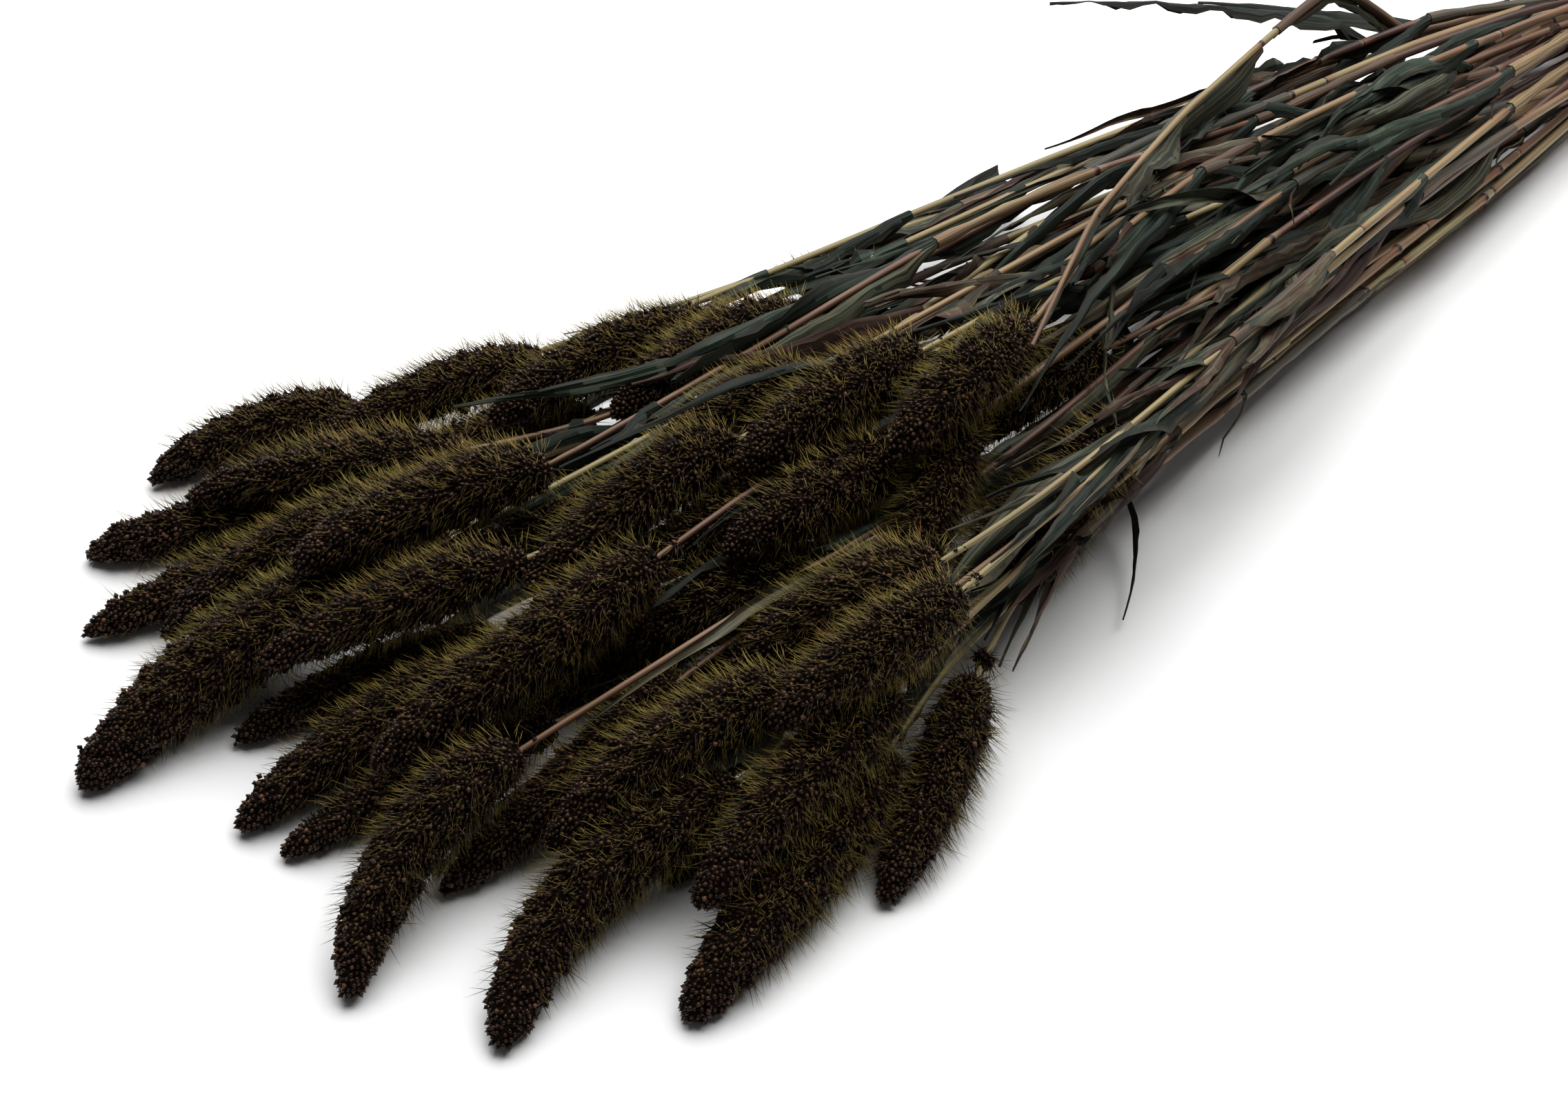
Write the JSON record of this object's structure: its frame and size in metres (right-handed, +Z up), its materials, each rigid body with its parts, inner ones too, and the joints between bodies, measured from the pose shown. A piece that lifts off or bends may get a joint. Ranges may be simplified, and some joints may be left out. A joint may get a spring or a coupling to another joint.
{
  "type": "dried foxtail millet bunch",
  "caption": "Tied bunch of dried foxtail millet lying on its side: dark bristly seed heads fan out from straw-coloured stalks with dry blades, held by a band near the cut ends.",
  "frame": {"origin": "middle of the bunch's bounding box at the surface it lies on", "axes": "+X towards the cut ends of the stalks, -X towards the seed heads, +Z up from the surface"},
  "size_m": [0.7714, 0.3064, 0.0943],
  "materials": {
    "grain": "dark seed husks, dry",
    "bristle": "fine dry bristles",
    "stalk": "smooth dry straw",
    "blade": "dull dry leaf",
    "tie": "matt natural rubber"
  },
  "bodies": {
    "root": {"head_01": "grain", "head_02": "grain", "head_03": "grain", "head_04": "grain", "head_05": "grain", "head_06": "grain", "head_07": "grain", "head_08": "grain", "head_09": "grain", "head_10": "grain", "head_11": "grain", "head_12": "grain", "head_13": "grain", "head_14": "grain", "head_15": "grain", "head_16": "grain", "head_17": "grain", "head_18": "grain", "head_19": "grain", "head_20": "grain", "head_21": "grain", "head_22": "grain", "head_23": "grain", "head_24": "grain", "head_25": "grain", "head_26": "grain", "head_27": "grain", "head_28": "grain", "head_29": "grain", "head_30": "grain", "head_31": "grain", "head_32": "grain", "head_33": "grain", "head_34": "grain", "head_35": "grain", "head_36": "grain", "head_37": "grain", "head_38": "grain", "head_39": "grain", "head_40": "grain", "head_41": "grain", "head_42": "grain", "head_43": "grain", "head_44": "grain", "stalks_01": "stalk", "stalks_02": "stalk", "stalks_03": "stalk", "stalks_04": "stalk", "stalks_05": "stalk", "stalks_06": "stalk", "stalks_07": "stalk", "stalks_08": "stalk", "stalks_09": "stalk", "stalks_10": "stalk", "stalks_11": "stalk", "stalks_12": "stalk", "stalks_13": "stalk", "stalks_14": "stalk", "stalks_15": "stalk", "tie": "tie"}
  },
  "joints": []
}
